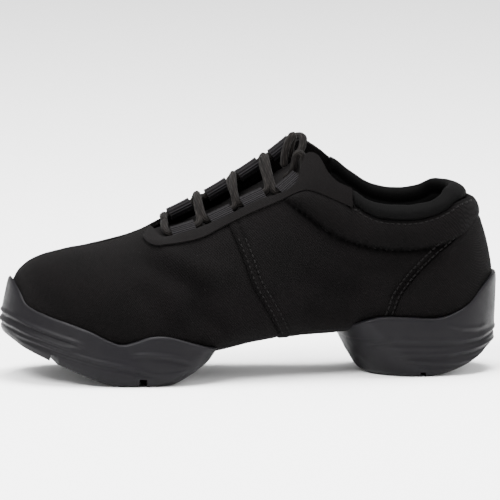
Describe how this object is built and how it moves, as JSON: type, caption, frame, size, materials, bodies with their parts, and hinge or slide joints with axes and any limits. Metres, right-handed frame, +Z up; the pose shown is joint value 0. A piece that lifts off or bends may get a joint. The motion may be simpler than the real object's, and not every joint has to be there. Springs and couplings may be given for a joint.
{
  "type": "dance sneaker",
  "caption": "Low black canvas dance sneaker with a split sole, laced through webbing loops, with a padded collar.",
  "frame": {"origin": "middle of the footprint, on the floor", "axes": "+X from toe to heel, +Y towards the inner side, +Z up"},
  "size_m": [0.2704, 0.1008, 0.1312],
  "materials": {
    "canvas": "black cotton twill canvas, matt",
    "twill": "black close twill, matt",
    "lining": "black brushed lining",
    "sole": "dark grey moulded foam rubber, satin",
    "webbing": "black ribbed webbing",
    "lace": "black braided lace"
  },
  "bodies": {
    "root": {"upper": "canvas", "insole": "lining", "tongue": "twill", "facing": "twill", "heel_counter": "twill", "padded_collar": "twill", "forefoot_sole": "sole", "heel_sole": "sole", "webbing_loop_lateral_1": "webbing", "webbing_loop_lateral_2": "webbing", "webbing_loop_lateral_3": "webbing", "webbing_loop_lateral_4": "webbing", "webbing_loop_medial_1": "webbing", "webbing_loop_medial_2": "webbing", "webbing_loop_medial_3": "webbing", "webbing_loop_medial_4": "webbing", "lace_crossings": "lace", "lace_end_near": "lace", "lace_end_far": "lace"}
  },
  "joints": []
}
